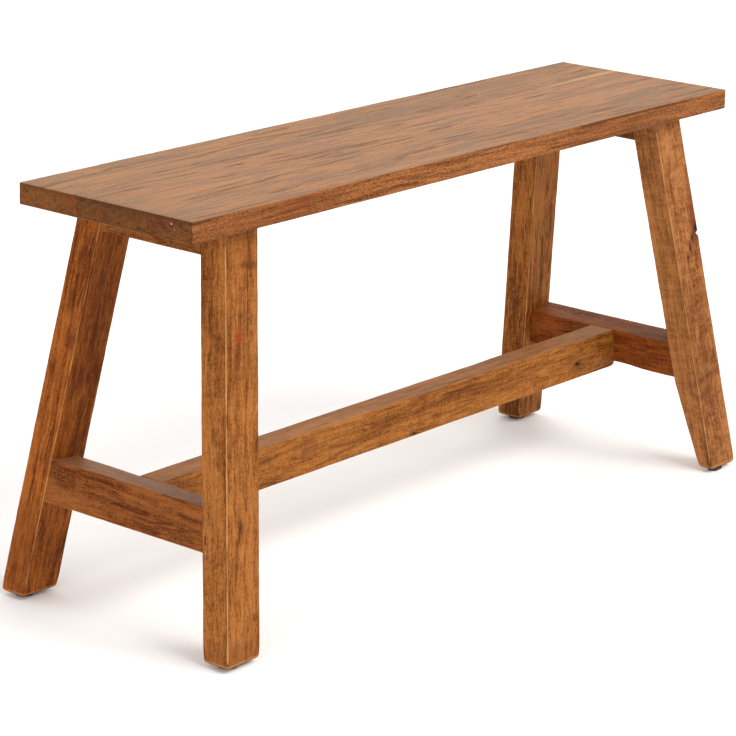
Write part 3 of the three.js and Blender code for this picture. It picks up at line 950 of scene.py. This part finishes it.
def make_leg(row, end, tenons):
    """A leg with a rounded foot and a mortise for each tenon. Its inner side tapers where the CAD's does."""
    timber = leg_timber(row, end)
    low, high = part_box(timber.node)
    foot, top = (low, -Z), (high, Z)
    taper = tapered_inner_side(timber) if row == "front" else None
    planes = side_faces(timber)
    planes[0] = [[foot], []]
    reshape = None
    if taper:
        start, bottom, foot_side = taper
        slope = (timber.high[2] - foot_side) / (start - bottom)

        def reshape(point):
            lost = max(0, start - point[0]) * slope
            share = 1 - lost / (timber.high[2] - timber.low[2])
            point[2] = timber.low[2] + (point[2] - timber.low[2]) * share
            return point

        normal = timber.to_world((-slope, 0, 1)).normalized()
        planes[2][1].append((timber.to_world((start, 0, timber.high[2])), normal))
    mesh = timber_block(timber, foot, top, round_ends=(1, 0), round_foot=True, reshape=reshape)
    piece = new_piece(timber.node, mesh)
    for tenon in tenons:
        combine(piece, tenon.tenon_box(JOINT_GAP), "DIFFERENCE")
    finish_timber(piece, timber, planes)


def inner_leg_planes(end):
    """The faces of an end's two legs that look at each other, as end planes for what stands between."""
    front, back = leg_timber("front", end), leg_timber("back", end)
    return flipped(front.face(2, 1, FULLER + JOINT_GAP)), flipped(back.face(2, -1, FULLER + JOINT_GAP))


def make_upper_rail(end, timber):
    """A rail cut flat under the seat, with its tenons and its counterbored screw holes."""
    start, stop = inner_leg_planes(end)
    mesh = timber_block(timber, start, stop, grow=((OVERRUN, FULLER), (FULLER, FULLER)))
    slice_mesh(mesh, (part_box(timber.node)[1], Z))
    planes = side_faces(timber)
    planes[1][0] = []
    piece = new_piece(timber.node, mesh)
    combine(piece, timber.tenon_box(0), "UNION")
    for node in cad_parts:
        if node.startswith(f"seat_screw_{end}"):
            screw_low, screw_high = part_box(node)
            middle = (screw_low + screw_high) / 2
            shank = round_bar(SCREW_SHANK + JOINT_GAP, middle, screw_high.z - screw_low.z)
            combine(piece, shank, "DIFFERENCE")
            middle.z = screw_low.z + SCREW_HEAD - COUNTERBORE_REACH / 2
            combine(piece, round_bar(COUNTERBORE, middle, COUNTERBORE_REACH), "DIFFERENCE")
    finish_timber(piece, timber, planes)


def make_end_stretcher(end, timber, long_timber):
    """A stretcher between two legs, with its tenons and a mortise for the long stretcher."""
    start, stop = inner_leg_planes(end)
    mesh = timber_block(timber, start, stop)
    piece = new_piece(timber.node, mesh)
    combine(piece, timber.tenon_box(0), "UNION")
    combine(piece, long_timber.tenon_box(JOINT_GAP), "DIFFERENCE")
    finish_timber(piece, timber, side_faces(timber))


def make_long_stretcher(timber, end_timbers):
    """The stretcher between the two end stretchers, with its tenons."""
    start = flipped(end_timbers["left"].face(2, 1, FULLER + JOINT_GAP))
    stop = flipped(end_timbers["right"].face(2, -1, FULLER + JOINT_GAP))
    mesh = timber_block(timber, start, stop)
    piece = new_piece(timber.node, mesh)
    combine(piece, timber.tenon_box(0), "UNION")
    finish_timber(piece, timber, side_faces(timber))


def make_seat():
    """The two boards, with a thin film of glue between them."""
    front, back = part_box("seat_board_front")[1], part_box("seat_board_back")[0]
    glue = (front + back) / 2
    make_seat_board("front", (glue - Y * GLUE_FILM, Y))
    make_seat_board("back", (glue + Y * GLUE_FILM, -Y))


def make_timbers():
    rails = {end: Timber(f"upper_rail_{end}", -Z, -X) for end in ENDS}
    stretchers = {end: Timber(f"end_stretcher_{end}", Z, X) for end in ENDS}
    long_timber = Timber("long_stretcher", Y, Z)
    make_seat()
    for end in ENDS:
        for row in ROWS:
            make_leg(row, end, (rails[end], stretchers[end]))
        make_upper_rail(end, rails[end])
        make_end_stretcher(end, stretchers[end], long_timber)
    make_long_stretcher(long_timber, stretchers)


# ---- Foot pads and hidden fixings ----

RUBBER_COLOURS = (paint(28, 27, 26), paint(58, 56, 54))
RUBBER_ROUGHNESS = (0.55, 0.8)
RUBBER_WAVES = (900, 900, 900)
SCUFF_SHOWS = (0.45, 0.75)
SCUFF_RANGE = (0.3, 0.8)
ZINC_COLOURS = (paint(206, 190, 148), paint(176, 165, 142))
ZINC_ROUGHNESS = (0.28, 0.45)
ZINC_WAVES = (700, 700, 700)
BEECH_COLOURS = (paint(212, 180, 142), paint(188, 154, 116))
BEECH_ROUGHNESS = 0.7
BEECH_WAVES = (1200, 60, 1200)
MOST_NOISE = (0.3, 0.7)
FINE_BUMP = (0.3, 0.1 * MM)

# The pads: how much shorter and how far eased at the top and the bottom they are, and how finely divided
PAD_TRIM = 1.5 * MM
PAD_TOP_EASE = 0.3 * MM
PAD_RIM = 1.1 * MM
PAD_RIM_STEPS = 4
PAD_SIDES = 48
PAD_SHARP_ANGLE = math.radians(50)


def rubber_material():
    shade = Shade("black_rubber")
    place = shade.add("ShaderNodeTexCoord", {}, "Object")
    scuff = shade.noise(place, RUBBER_WAVES, detail=4)
    colour = shade.mix(shade.spread(scuff, *SCUFF_SHOWS), *RUBBER_COLOURS)
    roughness = shade.spread(scuff, *SCUFF_RANGE, *RUBBER_ROUGHNESS)
    shade.surface(colour, roughness, normal=shade.bump(scuff, *FINE_BUMP))
    return shade.material


def steel_material():
    shade = Shade("zinc_plated_steel")
    place = shade.add("ShaderNodeTexCoord", {}, "Object")
    stain = shade.noise(place, ZINC_WAVES, detail=3)
    colour = shade.mix(stain, *ZINC_COLOURS)
    shade.surface(colour, shade.spread(stain, *MOST_NOISE, *ZINC_ROUGHNESS), metallic=1.0)
    return shade.material


def dowel_material():
    shade = Shade("dowel_beech")
    place = shade.add("ShaderNodeTexCoord", {}, "Object")
    fibre = shade.noise(place, BEECH_WAVES, detail=3)
    colour = shade.mix(shade.spread(fibre, *MOST_NOISE), *BEECH_COLOURS)
    shade.surface(colour, BEECH_ROUGHNESS, normal=shade.bump(fibre, *FINE_BUMP))
    return shade.material


def pad_levels(bottom, top):
    """The height of each ring of a pad from the top down, and how far it is inset."""
    levels = [(top, PAD_TOP_EASE), (top - PAD_TOP_EASE, 0)]
    for step in range(PAD_RIM_STEPS + 1):
        turn = math.pi / 2 * step / PAD_RIM_STEPS
        levels.append((bottom + PAD_RIM * (1 - math.sin(turn)), PAD_RIM * (1 - math.cos(turn))))
    return levels


def pad_mesh(node):
    """An oval with a rounded lower rim, in the space of its CAD node."""
    low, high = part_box(node)
    middle = (low + high) / 2
    radius = (high.y - low.y) / 2
    straight = (high.x - low.x) / 2 - radius - PAD_TRIM
    levels = pad_levels(low.z, high.z)
    points, faces = [], []
    for level, inset in levels:
        for step in range(PAD_SIDES):
            turn = 2 * math.pi * (step + 0.5) / PAD_SIDES
            shift = math.copysign(straight, math.cos(turn))
            points.append((middle.x + shift + (radius - inset) * math.cos(turn),
                           middle.y + (radius - inset) * math.sin(turn), level))
    for first in range(0, len(points) - PAD_SIDES, PAD_SIDES):
        for step in range(PAD_SIDES):
            after = (step + 1) % PAD_SIDES
            faces.append((first + step, first + PAD_SIDES + step, first + PAD_SIDES + after, first + after))
    faces.append(tuple(range(PAD_SIDES)))
    faces.append(tuple(reversed(range(len(points) - PAD_SIDES, len(points)))))
    mesh = bpy.data.meshes.new(node)
    mesh.from_pydata(points, [], faces)
    mesh.update()
    return mesh


def make_foot_pad(node, material):
    """The rubber oval that takes a pad's CAD node's place."""
    mesh = pad_mesh(node)
    mesh.shade_smooth()
    mesh.set_sharp_from_angle(angle=PAD_SHARP_ANGLE)
    mesh.materials.append(material)
    piece = new_piece(f"worn_{node}", mesh)
    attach(piece, "root")
    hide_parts(node)


def make_fixings():
    """The foot pads, and the materials of the hidden screws and dowels, which keep their CAD shapes."""
    materials = {"seat_screw": steel_material(), "seat_dowel": dowel_material()}
    rubber = rubber_material()
    for node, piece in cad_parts.items():
        if node.startswith("foot_pad"):
            make_foot_pad(node, rubber)
        for prefix, material in materials.items():
            if node.startswith(prefix):
                piece.data.materials.clear()
                piece.data.materials.append(material)


add_camera()
add_studio()
make_timbers()
make_fixings()
